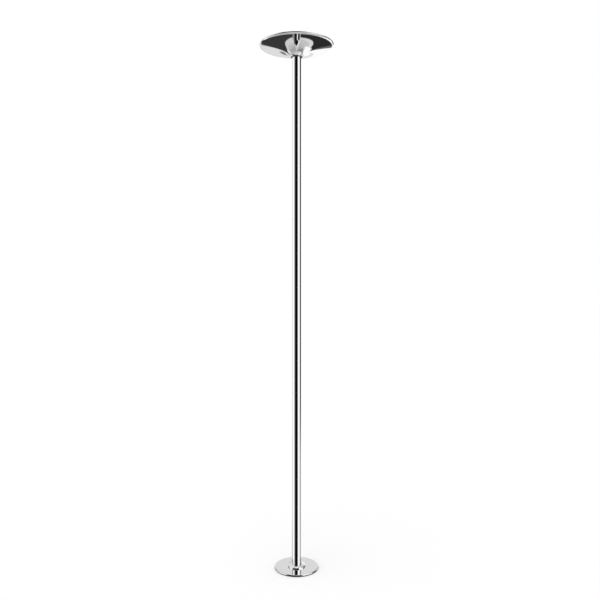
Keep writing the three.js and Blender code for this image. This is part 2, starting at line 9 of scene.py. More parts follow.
import bmesh
import bpy
import numpy as np
from bpy.props import FloatProperty, FloatVectorProperty, IntProperty, PointerProperty
from bpy.types import Operator, Panel, PropertyGroup, Scene
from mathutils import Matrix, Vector


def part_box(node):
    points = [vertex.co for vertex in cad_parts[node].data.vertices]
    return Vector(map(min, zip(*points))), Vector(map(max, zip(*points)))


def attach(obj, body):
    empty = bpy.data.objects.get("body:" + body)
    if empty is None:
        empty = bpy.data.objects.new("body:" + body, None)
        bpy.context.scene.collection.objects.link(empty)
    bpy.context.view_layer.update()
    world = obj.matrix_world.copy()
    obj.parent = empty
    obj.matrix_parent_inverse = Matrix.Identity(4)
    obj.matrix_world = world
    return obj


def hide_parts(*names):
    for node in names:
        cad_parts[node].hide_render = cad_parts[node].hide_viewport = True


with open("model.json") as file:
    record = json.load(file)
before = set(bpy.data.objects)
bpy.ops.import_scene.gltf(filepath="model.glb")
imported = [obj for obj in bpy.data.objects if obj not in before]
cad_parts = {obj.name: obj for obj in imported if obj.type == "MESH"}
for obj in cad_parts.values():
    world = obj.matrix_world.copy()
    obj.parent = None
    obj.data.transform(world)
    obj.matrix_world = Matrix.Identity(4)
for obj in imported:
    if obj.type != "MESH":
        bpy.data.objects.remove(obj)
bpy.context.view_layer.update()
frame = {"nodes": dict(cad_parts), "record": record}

bl_info = {
    "name": "Dance Pole Finish",
    "version": (1, 0, 0),
    "blender": (4, 5, 0),
    "location": "View3D > Sidebar > Dance Pole",
    "description": "Makes the finished pieces of a spinning tension pole and its studio",
    "category": "Object",
}

BODY_OF = {node: body for body, nodes in frame["record"]["behaviour"]["bodies"].items() for node in nodes}
FULL_TURN = 2 * math.pi
SHARP_ANGLE = math.radians(32)
PATCH_TOLERANCE = 0.00006
PATCH_ANGLE = math.radians(24)
WHITE = (1, 1, 1, 1)

# Roundings of edges
SHARP, FINE, SOFT, BROKEN = 0.0002, 0.0003, 0.0004, 0.0005

# Clearances: how far a cutter goes past what it cuts, a fit round a bearing, a groove round a clip
THROUGH = 0.002
FIT = 0.0001
GROOVE_DEPTH = 0.0007

# Holes of the countersunk screws
SCREW_NUMBERS = (1, 2, 3, 4)
SCREW_HOLE, HEAD_HOLE, HEAD_HEIGHT = 0.0028, 0.0053, 0.0024

SetScrew = namedtuple("SetScrew", "diameter pitch flats socket_depth")
JACK_SCREW = SetScrew(0.010, 0.0015, 0.005, 0.006)
LOCK_SCREW = SetScrew(0.008, 0.00125, 0.004, 0.0035)
THREAD_SHARE = 0.54


# Sizes and finishes that a user would change


def length_of(name, description, default):
    return FloatProperty(name=name, description=description, default=default, unit="LENGTH")


def count_of(name, description, default):
    return IntProperty(name=name, description=description, default=default, min=24)


def colour_of(name, description, default):
    return FloatVectorProperty(name=name, description=description, default=default, subtype="COLOR")


class PoleSizes(PropertyGroup):
    """Main sizes of the pole's pieces."""

    pole_diameter: length_of("Pole diameter", "Outside of the chromed tube", 0.045)
    tube_wall: length_of("Tube wall", "Wall of the chromed tube", 0.0015)
    key_hole: length_of("Key hole", "Hole over each joiner screw", 0.008)
    lock_hole: length_of("Lock hole", "Hole round each spin lock screw", 0.0086)
    plate_edge: length_of("Plate edge", "Rounding of the plate's upper edge", 0.0025)
    collar_wall: length_of("Collar wall", "Sheet of the base collar", 0.0016)
    dome_wall: length_of("Dome wall", "Sheet of the ceiling dome", 0.0012)
    dome_throat: length_of("Dome throat", "Outside of the dome at the pole", 0.057)
    dome_shoulder: length_of("Dome shoulder", "Bend up to the dome's rim", 0.014)
    spindle_pitch: length_of("Spindle pitch", "Rise of its thread in a turn", 0.004)
    spindle_depth: length_of("Spindle thread depth", "Depth of its thread", 0.002)
    disc_facets: count_of("Disc facets", "Facets round the dome, plates and pads", 216)
    tube_facets: count_of("Tube facets", "Facets round the tubes and the collar", 120)
    part_facets: count_of("Part facets", "Facets round the small turned parts", 72)


class PoleFinishes(PropertyGroup):
    """Colours of the finishes, the level of the studio's light, and the camera."""

    chrome: colour_of("Chrome", "Plated surfaces", (0.965, 0.967, 0.97))
    turned_steel: colour_of("Turned steel", "Hub and housings", (0.42, 0.425, 0.43))
    bearing_steel: colour_of("Bearing steel", "Races and balls", (0.56, 0.565, 0.58))
    zinc: colour_of("Zinc", "Spindle, washer and joiners", (0.50, 0.51, 0.52))
    black_steel: colour_of("Black steel", "Screws and clips", (0.024, 0.024, 0.026))
    brass: colour_of("Brass", "Ball cages", (0.60, 0.40, 0.16))
    aluminium: colour_of("Aluminium", "Ceiling plate", (0.60, 0.61, 0.62))
    rubber: colour_of("Rubber", "Both pads", (0.014, 0.014, 0.015))
    nylon: colour_of("Nylon", "Bush in the dome", (0.018, 0.018, 0.019))
    floor: colour_of("Floor", "Studio floor", (0.97, 0.97, 0.97))
    surround: FloatProperty(name="Surround", description="Light from all round", default=0.86, min=0)
    key_light: FloatProperty(name="Key light", description="Light from above", default=0.62, min=0)
    key_softness: FloatProperty(
        name="Key softness", description="Spread of the light", default=math.radians(50), subtype="ANGLE"
    )
    lens: FloatProperty(name="Lens", description="Focal length in millimetres", default=39.6, min=1)
    camera_distance: length_of("Camera distance", "From the pole's axis", 3.266)
    camera_height: length_of("Camera height", "Above the floor", 1.423)


# Outlines of turned pieces, as rows of radius, height and the outward normal's two parts


def unit(vectors):
    """The same directions at a length of 1."""
    return vectors / np.maximum(np.linalg.norm(vectors, axis=-1, keepdims=True), 1e-12)


def rounded(corners, steps=4, edge=SHARP):
    """An outline of straight sides with rounded corners.

    A corner is (radius, height, rounding). Without one it is rounded by the edge, or by 0 on the
    axis. Its arc starts where it touches the first side: touch + rounding * (n(a) - n(first)), with
    n(a) the unit normal and a going evenly from the first side's normal to the second's. A rounding
    of 0 gives one point with the normal halfway. The end corners of an outline that starts on the
    axis lie on it and keep their side's normal.
    """
    table = np.array([(*corner, edge if corner[0] else 0)[:3] for corner in corners], float)
    point, rounding = table[:, :2], table[:, 2]
    before = unit(point - np.roll(point, 1, axis=0))
    after = np.roll(before, -1, axis=0)
    cross = before[:, 0] * after[:, 1] - before[:, 1] * after[:, 0]
    turn = np.arctan2(cross, (before * after).sum(axis=1))
    first = np.arctan2(-before[:, 0], before[:, 1])
    if table[0, 0] == 0:
        first[0] += turn[0]
        turn[[0, -1]] = 0
    angle = first[:, None] + turn[:, None] * np.linspace(0, 1, steps + 1)
    normal = np.stack([np.cos(angle), np.sin(angle)], axis=-1)
    touch = point - before * (rounding * np.tan(abs(turn) / 2))[:, None]
    bend = (np.sign(turn) * rounding)[:, None, None]
    place = touch[:, None] + bend * (normal - normal[:, :1])
    kept = (rounding > 0)[:, None] | (np.arange(steps + 1) == steps // 2)
    return np.concatenate([place, normal], axis=-1)[kept]


def arc(radius, height, bend, start, end, steps):
    """Corners without rounding along a circular arc: centre + bend * (cos a, sin a)."""
    angle = np.radians(np.linspace(start, end, steps + 1))
    corners = [radius + bend * np.cos(angle), height + bend * np.sin(angle), 0 * angle]
    return np.stack(corners, axis=-1).tolist()


def sweep_curve(start, end, pull, push, steps):
    """Corners along a cubic curve: start + (end - start) * (3t(1-t)^2 pull + 3t^2(1-t) push + t^3)."""
    share = np.linspace(0, 1, steps + 1)[:, None]
    rest, way = 1 - share, np.subtract(end, start)
    reach = 3 * share * rest**2 * pull + 3 * share**2 * rest * push + share**3
    return np.hstack([start + way * reach, 0 * share])


def offset_inward(corners, distance):
    """The same line moved to its left by a distance, along the normal of the chord past each point."""
    along = unit(np.gradient(corners[:, :2], axis=0))
    return np.hstack([corners[:, :2] + distance * along[:, ::-1] * (-1, 1), corners[:, 2:]])


# Meshes


def aimed(points, axis, origin):
    """Points or normals turned from +Z to the axis and moved to the origin."""
    spin = np.array(Vector((0, 0, 1)).rotation_difference(Vector(axis)).to_matrix())
    return points @ spin.T + np.array(origin)


def turns(count):
    """Angles that share one turn evenly."""
    return np.arange(count) * FULL_TURN / count


def around(radius, angle, height):
    """Points (r cos a, r sin a, z) round the Z axis."""
    points = (radius * np.cos(angle), radius * np.sin(angle), height)
    return np.stack(np.broadcast_arrays(*points), axis=-1)


def linked(data):
    """A new object for a mesh, a light or a camera, with its name."""
    piece = bpy.data.objects.new(data.name, data)
    bpy.context.scene.collection.objects.link(piece)
    return piece


def lattice(name, points, normals=None, closed=False):
    """One closed surface through a grid of rings.

    Facet j of ring i joins facet j + 1 and ring i + 1. Where the outline is closed its last ring
    joins its first, and otherwise the first and last rings each shrink to one point on the axis.
    """
    rings, facets = points.shape[:2]
    index, used = np.arange(rings * facets).reshape(rings, facets), slice(None)
    if not closed:
        index = np.clip(index - facets + 1, 0, (rings - 2) * facets + 1)
        used = slice(facets - 1, 1 - facets)
    beside = np.roll(index, -1, axis=1)
    above, far = np.roll(index, -1, axis=0), np.roll(beside, -1, axis=0)
    quads = np.stack([index, beside, far, above], axis=-1)
    faces = (quads if closed else quads[1:-2]).reshape(-1, 4).tolist()
    if not closed:
        faces += quads[0][:, [0, 2, 3]].tolist() + quads[-2][:, :3].tolist()
    mesh = bpy.data.meshes.new(name)
    mesh.from_pydata(points.reshape(-1, 3)[used], [], faces)
    mesh.shade_smooth()
    if normals is None:
        mesh.set_sharp_from_angle(angle=SHARP_ANGLE)
    else:
        mesh.normals_split_custom_set_from_vertices(normals.reshape(-1, 3)[used])
    return linked(mesh)


def turned(name, outline, facets, axis=(0, 0, 1), origin=(0, 0, 0)):
    """A turned surface: radius r and height z of the outline give (r cos a, r sin a, z) at turn a."""
    points = around(outline[:, 0:1], turns(facets), outline[:, 1:2])
    normals = around(outline[:, 2:3], turns(facets), outline[:, 3:4])
    normals = aimed(normals, axis, (0, 0, 0))
    return lattice(name, aimed(points, axis, origin), normals, closed=outline[0, 0] > 0)


def screwed(name, rows, facets, pitch, axis=(0, 0, 1), origin=(0, 0, 0)):
    """A screw: blocks of rows of radius, height, thread depth and width across flats.

    At turn a the radius is r - depth * w(z / pitch - a / 2 pi), with w a trapezoid wave that is 0
    on the crest and 1 in the root. Where flats are given the ring is a hexagon instead, of radius
    flats / 2 / cos(a mod 60 degrees - 30 degrees).
    """
    crest, flank = 0.22, 0.56
    radius, height, depth, flats = np.vstack(rows).T[:, :, None]
    angle = turns(facets)
    phase = (height / pitch - angle / FULL_TURN) % 1
    slope = np.clip((abs(2 * phase - 1) - crest) / flank, 0, 1)
    wave = slope * slope * (3 - 2 * slope)
    hexagon = flats / 2 / np.cos(angle % (FULL_TURN / 6) - FULL_TURN / 12)
    reach = np.where(flats > 0, hexagon, radius - depth * wave)
    return lattice(name, aimed(around(reach, angle, height), axis, origin))


def cut(piece, cutters):
    """Takes the cutters out of a piece and removes them, and gives its new mesh."""
    for cutter in cutters:
        drill = piece.modifiers.new("drill", "BOOLEAN")
        drill.operation, drill.solver, drill.object = "DIFFERENCE", "EXACT", cutter
    depsgraph = bpy.context.evaluated_depsgraph_get()
    mesh = bpy.data.meshes.new_from_object(piece.evaluated_get(depsgraph), depsgraph=depsgraph)
    if mesh.attributes.get("custom_normal"):
        mesh.attributes.remove(mesh.attributes["custom_normal"])
    blank = piece.data
    piece.modifiers.clear()
    piece.data = mesh
    bpy.data.meshes.remove(blank)
    for cutter in cutters:
        bpy.data.objects.remove(cutter)
    mesh.shade_smooth()
    mesh.set_sharp_from_angle(angle=SHARP_ANGLE)
    return mesh


def read(items, name, width, kind=float):
    """One property of a mesh's items as an array."""
    values = np.empty(len(items) * width, kind)
    items.foreach_get(name, values)
    return values.reshape(-1, width) if width > 1 else values


def drilled(piece, outline, cutters):
    """Cuts the cutters out of a turned piece and gives its turned faces their smooth normals again.

    A face corner whose point lies on the outline, and whose face looks the way the outline does
    there, gets the outline's normal between its two nearest points, turned to the corner's side. A
    zero leaves a corner its own normal.
    """
    mesh = cut(piece, cutters)
    point = read(mesh.vertices, "co", 3)[read(mesh.loops, "vertex_index", 1, int)]
    flat = np.repeat(read(mesh.polygons, "normal", 3), read(mesh.polygons, "loop_total", 1, int), axis=0)
    radius, side = np.hypot(point[:, 0], point[:, 1]), unit(point[:, :2])
    look = np.stack([(flat[:, :2] * side).sum(axis=1), flat[:, 2]], axis=-1)
    start, end = outline, np.roll(outline, -1, axis=0)
    run = end[:, :2] - start[:, :2]
    length = np.maximum((run**2).sum(axis=1), 1e-12)
    place = np.stack([radius, point[:, 2]], axis=-1)[:, None]
    share = np.clip(((place - start[:, :2]) * run).sum(axis=-1) / length, 0, 1)[..., None]
    miss = np.linalg.norm(start[:, :2] + share * run - place, axis=-1)
    normal = unit(start[:, 2:] + share * (end - start)[:, 2:])
    facing = (normal * look[:, None]).sum(axis=-1)
    miss = np.where(facing > math.cos(PATCH_ANGLE), miss, 1)
    corner, best = np.arange(len(point)), miss.argmin(axis=1)
    chosen = normal[corner, best]
    smooth = np.hstack([chosen[:, :1] * side, chosen[:, 1:]])
    fits = miss[corner, best] < PATCH_TOLERANCE
    mesh.normals_split_custom_set(np.where(fits[:, None], smooth, 0))


def middle(node):
    """The centre of a CAD node's box."""
    low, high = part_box(node)
    return (low + high) / 2


def span(node):
    """Lowest height, highest height and outer radius of a CAD node that is round about Z."""
    low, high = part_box(node)
    return low.z, high.z, high.x


def outward(node):
    """The direction from the pole's axis to a CAD node, level."""
    place = middle(node)
    return Vector((place.x, place.y, 0)).normalized()


def clip_groove(clip, radius):
    """Corners of the groove that a clip sits in, in a journal of this radius."""
    low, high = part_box(clip)
    inner, low, high = radius - GROOVE_DEPTH, low.z - FIT, high.z + FIT
    return [(radius, low), (inner, low), (inner, high), (radius, high)]


def bar(node, radius, start, end):
    """A round cutter out through a wall at a CAD screw, widening where it comes out."""
    start, past, wide = start - THROUGH, end + THROUGH, radius + 3 * SHARP
    corners = [(0, start), (radius, start), (radius, end - SHARP)]
    corners += [(wide, end + 2 * SHARP), (wide, past), (0, past)]
    outline = rounded(corners, edge=0)
    origin = (0, 0, middle(node).z)
    return turned("cutter", outline, 48, axis=outward(node), origin=origin)


def screw_holes(kind, end, upward=False):
    """Cutters for the four countersunk screws of a kind, from outside their heads to a height."""
    head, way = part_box(f"{kind}_1")[0 if upward else 1].z, 1 if upward else -1
    outside, cone = head - 2 * way * THROUGH, head + way * HEAD_HEIGHT
    rows = [(0, outside), (HEAD_HOLE, outside), (HEAD_HOLE, head), (SCREW_HOLE, cone)]
    rows += [(SCREW_HOLE, end), (0, end)]
    outline = rounded(rows[::way], edge=0)
    places = [middle(f"{kind}_{number}") for number in SCREW_NUMBERS]
    return [turned("cutter", outline, 36, origin=(at.x, at.y, 0)) for at in places]


def seat(piece, node, finish, stands_for=True):
    """A made piece takes a CAD node's place: its body and its finish."""
    piece.data.materials.clear()
    piece.data.materials.append(material(finish))
    if stands_for:
        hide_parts(node)
    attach(piece, BODY_OF[node])


def turn_piece(node, finish, kind, corners, steps=4, cutters=(), name=None):
    """A turned piece in a CAD node's place, drilled where cutters are given.

    Its kind, a disc, tube or part, sets its facets. One with its own name comes beside the node's.
    """
    outline = rounded(corners, steps)
    facets = getattr(bpy.context.scene.pole_sizes, f"{kind}_facets")
    piece = turned(name or f"{node}_fine", outline, facets)
    if cutters:
        drilled(piece, outline, cutters)
    seat(piece, node, finish, stands_for=not name)


def dress(node, finish):
    """A CAD node whose shape is right keeps it and gets a better finish."""
    for place in frame["nodes"][node].material_slots:
        place.material = material(finish)


# Shader nodes


def arithmetic(operation, swapped=False):
    """An operator of Wire: a Math node, which takes the other value first where it is swapped."""

    def apply(wire, other):
        return wire.bench.maths(operation, *((other, wire) if swapped else (wire, other)))

    return apply


class Wire:
    """One socket of a node tree. Sums, differences and the like on it add Math nodes."""

    __add__ = __radd__ = arithmetic("ADD")
    __mul__ = __rmul__ = arithmetic("MULTIPLY")
    __sub__, __rsub__ = arithmetic("SUBTRACT"), arithmetic("SUBTRACT", swapped=True)
    __lt__ = arithmetic("LESS_THAN")

    def __init__(self, bench, socket):
        self.bench, self.socket = bench, socket

    def __neg__(self):
        return self * -1

    def rise(self, start, end):
        """0 below start, 1 above end, and a smooth step between."""
        sockets = {"Value": self, "From Min": start, "From Max": end}
        return self.bench.node("MapRange", sockets, interpolation_type="SMOOTHSTEP")

    def fall(self, start, end):
        """1 below start, 0 above end."""
        return 1 - self.rise(start, end)

    def within(self, start, full, fade, end):
        """1 between full and fade, 0 outside start and end."""
        return self.rise(start, full) * self.fall(fade, end)


class Bench:
    """Where a node tree is put together."""

    def __init__(self, tree):
        self.tree = tree
        self.tree.nodes.clear()

    def node(self, kind, sockets=None, output=0, **settings):
        """A node of this type: settings first, then socket values or wires by name or place."""
        made = self.tree.nodes.new("ShaderNode" + kind)
        for key, value in settings.items():
            setattr(made, key, value)
        for key, value in (sockets or {}).items():
            if isinstance(value, Wire):
                self.tree.links.new(value.socket, made.inputs[key])
            else:
                made.inputs[key].default_value = value
        return Wire(self, made.outputs[output]) if made.outputs else None

    def maths(self, operation, *values):
        return self.node("Math", dict(enumerate(values)), operation=operation)

    def apart(self, vector):
        return [self.node("SeparateXYZ", {0: vector}, output=axis) for axis in "XYZ"]

    def place(self, stretch=(1, 1, 1)):
        """Object coordinates in metres, stretched."""
        place = self.node("TexCoord", output="Object")
        return self.node("Mapping", {"Vector": place, "Scale": stretch})

    def noise(self, scale, detail=2, roughness=0.5, stretch=(1, 1, 1), place=None):
        place = place or self.place(stretch)
        sockets = {"Vector": place, "Scale": scale, "Detail": detail, "Roughness": roughness}
        return self.node("TexNoise", sockets)

    def rings(self, outward, upward, detail=2):
        """Noise that is the same all round the pole's axis, with its scale outward and upward."""
        x, y, z = self.apart(self.place())
        radius = self.maths("SQRT", x * x + y * y)
        place = self.node("CombineXYZ", {0: radius * outward, 1: z * upward})
        return self.noise(1, detail, place=place)

    def tint(self, name, clean, worn, share):
        """A colour of the finishes at its clean level, mixed by a share with its worn level."""
        colour = np.array(getattr(bpy.context.scene.pole_finishes, name))
        first, second = ((*np.minimum(colour * level, 1), 1) for level in (clean, worn))
        return self.node("Mix", {0: share, 6: first, 7: second}, output=2, data_type="RGBA")

    def surface(self, tint, roughness, height, distance, metallic=1):
        """What the sockets of a finish's shader take."""
        bump = self.node("Bump", {"Height": height, "Distance": distance})
        return {"Base Color": tint, "Metallic": metallic, "Roughness": roughness, "Normal": bump}


# Finishes


def chrome_tube(bench):
    """Plated tube: fine polishing lines round it and faint smudges where hands grip."""
    lines = bench.noise(60, 3, stretch=(1, 1, 40))
    smudges = bench.noise(26, 4, 0.6, stretch=(1, 1, 0.35)).rise(0.46, 0.72)
    grip = bench.noise(5, 1, stretch=(1, 1, 0.2)).rise(0.4, 0.65)
    tint = bench.tint("chrome", 1, 0.985, smudges * grip)
    return bench.surface(tint, 0.01 + smudges * grip * 0.014 + lines * 0.006, lines, 0.0000008)


def chrome_spun(bench):
    """Spun and plated sheet: rings left by spinning, slow waves in the sheet and a light haze."""
    rings, waves = bench.rings(900, 300), bench.noise(14, 1)
    haze = bench.noise(40, 4, 0.6).rise(0.5, 0.75)
    tint = bench.tint("chrome", 1, 0.975, haze)
    return bench.surface(tint, 0.014 + haze * 0.02 + rings * 0.008, rings * 0.05 + waves, 0.00012)


def chrome_plate(bench):
    """Plated plate: faint rings from turning and light scuffs."""
    rings = bench.rings(1400, 0)
    scuffs = bench.noise(30, 5, 0.65, stretch=(1, 7, 1)).rise(0.55, 0.8)
    tint = bench.tint("chrome", 1, 0.97, scuffs)
    return bench.surface(tint, 0.02 + scuffs * 0.03 + rings * 0.01, rings, 0.000003)


def turned_steel(bench):
    """Bare turned steel: tool marks round the axis, with patches of thin oil."""
    grooves = bench.rings(2500, 2500, 1)
    oil = bench.noise(90, 3).rise(0.4, 0.65)
    tint = bench.tint("turned_steel", 1.12, 0.8, oil * 0.6 + grooves * 0.3)
    return bench.surface(tint, 0.24 + oil * 0.1 + grooves * 0.08, grooves, 0.00003)


def bearing_steel(bench):
    """Ground and honed bearing steel."""
    lines = bench.noise(300, stretch=(1, 1, 30))
    stain = bench.noise(160).rise(0.45, 0.7)
    tint = bench.tint("bearing_steel", 1.08, 0.9, stain)
    return bench.surface(tint, 0.12 + lines * 0.08, lines, 0.000006)


def zinc_plate(bench):
    """Bright zinc plating: cloudy, slightly blue, duller in patches."""
    cloud = bench.noise(55, 5, 0.6).rise(0.35, 0.7)
    grain = bench.noise(900)
    tint = bench.tint("zinc", 1.1, (0.78, 0.8, 0.84), cloud)
    return bench.surface(tint, 0.28 + cloud * 0.14 + grain * 0.06, grain, 0.00001)


def black_steel(bench):
    """Blackened steel with a brown cast where it is rubbed."""
    rubbed = bench.noise(240, 4, 0.6).rise(0.55, 0.78)
    grain = bench.noise(1600)
    tint = bench.tint("black_steel", 1, (3.6, 3.3, 3), rubbed)
    return bench.surface(tint, 0.42 + grain * 0.12 - rubbed * 0.12, grain, 0.000012, metallic=0.85)


def pressed_brass(bench):
    """Pressed brass, slightly tarnished."""
    tarnish = bench.noise(140, 4, 0.6).rise(0.4, 0.7)
    tint = bench.tint("brass", 1, (0.7, 0.62, 0.5), tarnish)
    return bench.surface(tint, 0.26 + tarnish * 0.12, bench.noise(1200), 0.00001)


def rolled_aluminium(bench):
    """Mill finish sheet: long rolling lines one way, with shallow dints."""
    lines = bench.noise(12, 4, 0.6, stretch=(2, 90, 1))
    patches = bench.noise(12, 3).rise(0.4, 0.7)
    tint = bench.tint("aluminium", 1.06, 0.86, lines)
    return bench.surface(tint, 0.3 + lines * 0.12 + patches * 0.05, lines, 0.00002)


def moulded_rubber(bench):
    """Black rubber: fine pebbled skin, greyer where it is dusty."""
    dust = bench.noise(22, 5, 0.65).rise(0.45, 0.75)
    tint, pebbles = bench.tint("rubber", 1, 2.4, dust), bench.noise(1100)
    sockets = bench.surface(tint, 0.72 + dust * 0.14, pebbles, 0.00008, metallic=0)
    return sockets | {"Specular IOR Level": 0.35}


def turned_nylon(bench):
    """Black nylon with the fine lines of its turning."""
    lines = bench.rings(1800, 1800, 1)
    tint = bench.tint("nylon", 1, 1.8, lines)
    return bench.surface(tint, 0.42 + lines * 0.12, lines, 0.00002, metallic=0)


def studio_floor(bench):
    """Matt white, very slightly mottled."""
    tint = bench.tint("floor", 1, 0.995, bench.noise(3))
    return {"Base Color": tint, "Roughness": 0.9, "Specular IOR Level": 0}


@functools.cache
def material(finish):
    """A finish's material, whose Principled shader takes the sockets that the finish gives."""
    made = bpy.data.materials.new(finish.__name__)
    made.use_nodes = True
    bench = Bench(made.node_tree)
    shader = bench.node("BsdfPrincipled", finish(bench))
    bench.node("OutputMaterial", {"Surface": shader})
    return made


# Screws, as blocks of rows of radius, height, thread depth and width across flats


def threaded(radius, start, end, pitch, depth, samples=10):
    """Rows along a thread, its depth growing over the first half turn and fading over the last."""
    height = np.linspace(start, end, int((end - start) / pitch * samples) + 1)
    fade = np.clip(np.minimum(height - start, end - height) / (pitch / 2), 0, 1)
    return np.stack([radius + 0 * height, height, depth * fade, 0 * height], axis=-1)


def plain(*rows):
    """Rows of radius and height without thread or flats."""
    return [(radius, height, 0, 0) for radius, height in rows]


def socket(flats, mouth, floor):
    """Rows of a hexagonal socket from its chamfered mouth down to its floor."""
    bevel = math.copysign(FINE, floor - mouth)
    return [(0, mouth, 0, flats + 2 * FINE), (0, mouth + bevel, 0, flats), (0, floor, 0, flats)]


def set_screw(node, screw, length, axis, origin):
    """A set screw with its tip at the origin and its socket at the far end, in a CAD node's place."""
    radius, tip, floor = screw.diameter / 2, 0.001, length - screw.socket_depth
    thread = THREAD_SHARE * screw.pitch
    rows = [
        plain((0, 0), (radius - tip, 0), (radius, tip)),
        threaded(radius, tip + 0.0001, length - BROKEN, screw.pitch, thread),
        plain((radius, length - SOFT), (radius - SOFT, length)),
        socket(screw.flats, length, floor),
        plain((0, floor - SOFT)),
    ]
    seat(screwed(f"{node}_fine", rows, 36, screw.pitch, axis, origin), node, black_steel)


def flat_screws(kind, upward=False):
    """Four countersunk screws in the places of their CAD nodes, each standing on its head's face."""
    radius, head, pitch = 0.0025, 0.005, 0.0008
    for number in SCREW_NUMBERS:
        node = f"{kind}_{number}"
        low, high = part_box(node)
        length, place = high.z - low.z, middle(node)
        place.z = low.z if upward else high.z
        rows = [
            plain((0, 0.002)),
            socket(0.003, 0, 0.0016)[::-1],
            plain((head - FINE, 0), (head, 0.0001), (head, FINE), (0.0026, HEAD_HEIGHT), (radius, 0.0026)),
            threaded(radius, 0.0027, length - 0.0006, pitch, 0.00043, 8),
            plain((radius, length - BROKEN), (radius - BROKEN, length), (0, length)),
        ]
        axis = (0, 0, 1 if upward else -1)
        seat(screwed(f"{node}_fine", rows, 36, pitch, axis, place), node, black_steel)


# Pieces


class MakeTubes(Operator):
    """Make the three chromed tubes, with the key holes and lock holes in their rear wall"""

    bl_idname = "dance_pole.make_tubes"
    bl_label = "Tubes"

    def execute(self, context):
        sizes = context.scene.pole_sizes
        radius = sizes.pole_diameter / 2
        bore = radius - sizes.tube_wall
        key, lock = sizes.key_hole / 2, sizes.lock_hole / 2
        holes = {
            "lower_tube": {"joiner_1_low_screw": key, "lock_screw_1": lock, "lock_screw_2": lock},
            "middle_tube": {"joiner_1_high_screw": key, "joiner_2_low_screw": key},
            "upper_tube": {"joiner_2_high_screw": key},
        }
        for node, screws in holes.items():
            low, high, _ = span(node)
            corners = [(bore, low), (radius, low, FINE), (radius, high, FINE), (bore, high)]
            cutters = [bar(screw, hole, bore, radius) for screw, hole in screws.items()]
            turn_piece(node, chrome_tube, "tube", corners, cutters=cutters)
        return {"FINISHED"}


class MakeJoiners(Operator):
    """Finish the joiner halves and make their jack screws"""

    bl_idname = "dance_pole.make_joiners"
    bl_label = "Joiners"

    def execute(self, context):
        for number in (1, 2):
            for side in ("rear", "front"):
                dress(f"joiner_{number}_{side}_half", zinc_plate)
            for side in ("low", "high"):
                node = f"joiner_{number}_{side}_screw"
                low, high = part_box(node)
                tip = (0, low.y, (low.z + high.z) / 2)
                set_screw(node, JACK_SCREW, high.y - low.y, (0, 1, 0), tip)
        return {"FINISHED"}


class MakeFloorBase(Operator):
    """Make the base plate, the rubber pad under it and the countersunk screws between them"""

    bl_idname = "dance_pole.make_floor_base"
    bl_label = "Floor base"

    chamfer = 0.0006
    groove_shares = np.array([0.8, 0.87, 0.94])
    groove_width, groove_depth = 0.004, 0.0008

    def execute(self, context):
        low, high, radius = span("base_plate")
        corners = [(0, low), (radius - self.chamfer, low), (radius, low + self.chamfer)]
        corners += [(radius, high, context.scene.pole_sizes.plate_edge), (0, high)]
        holes = screw_holes("base_screw", high + THROUGH, upward=True)
        turn_piece("base_plate", chrome_plate, "disc", corners, steps=8, cutters=holes)
        flat_screws("base_screw", upward=True)
        # The pad is a flat disc with three shallow grip rings in its underside
        low, high, radius = span("floor_pad")
        half = self.groove_width / 2
        corners = [(0, low)]
        for groove in self.groove_shares * radius:
            corners += [(groove - half, low, FINE), (groove, low + self.groove_depth, SOFT)]
            corners += [(groove + half, low, FINE)]
        corners += [(radius, low, BROKEN), (radius, high, FINE), (0, high)]
        turn_piece("floor_pad", moulded_rubber, "disc", corners)
        return {"FINISHED"}


class MakeCollar(Operator):
    """Make the collar, a low cone of sheet with a rounded rim that dishes in to the pole"""

    bl_idname = "dance_pole.make_collar"
    bl_label = "Base collar"

    rim, rim_rounding, rim_inside, dish = 0.031, 0.002, 0.0008, 0.0012
    foot_height, foot_rounding, gap = 0.006, 0.0016, 0.0008

    def execute(self, context):
        sizes, (low, high, foot) = context.scene.pole_sizes, span("base_collar")
        wall, rim, bore = sizes.collar_wall, self.rim, sizes.pole_diameter / 2 + self.gap
        edge, floor = low + self.foot_height, high - self.dish
        bend, rim_bend = self.foot_rounding, self.rim_rounding
        steep = 90 - math.degrees(math.atan2(high - edge, foot - rim))
        corners = [(foot - wall, low), (foot, low, SOFT)]
        corners += arc(foot - bend, edge - bend, bend, 0, steep, 8)
        corners += arc(rim, high - rim_bend, rim_bend, steep, 90, 6)
        corners += [(bore, floor, FINE), (bore, floor - wall, FINE)]
        corners += [(rim - wall / 2, high - wall, self.rim_inside), (foot - wall, edge - wall, SOFT)]
        turn_piece("base_collar", chrome_plate, "tube", corners, steps=6)
        return {"FINISHED"}


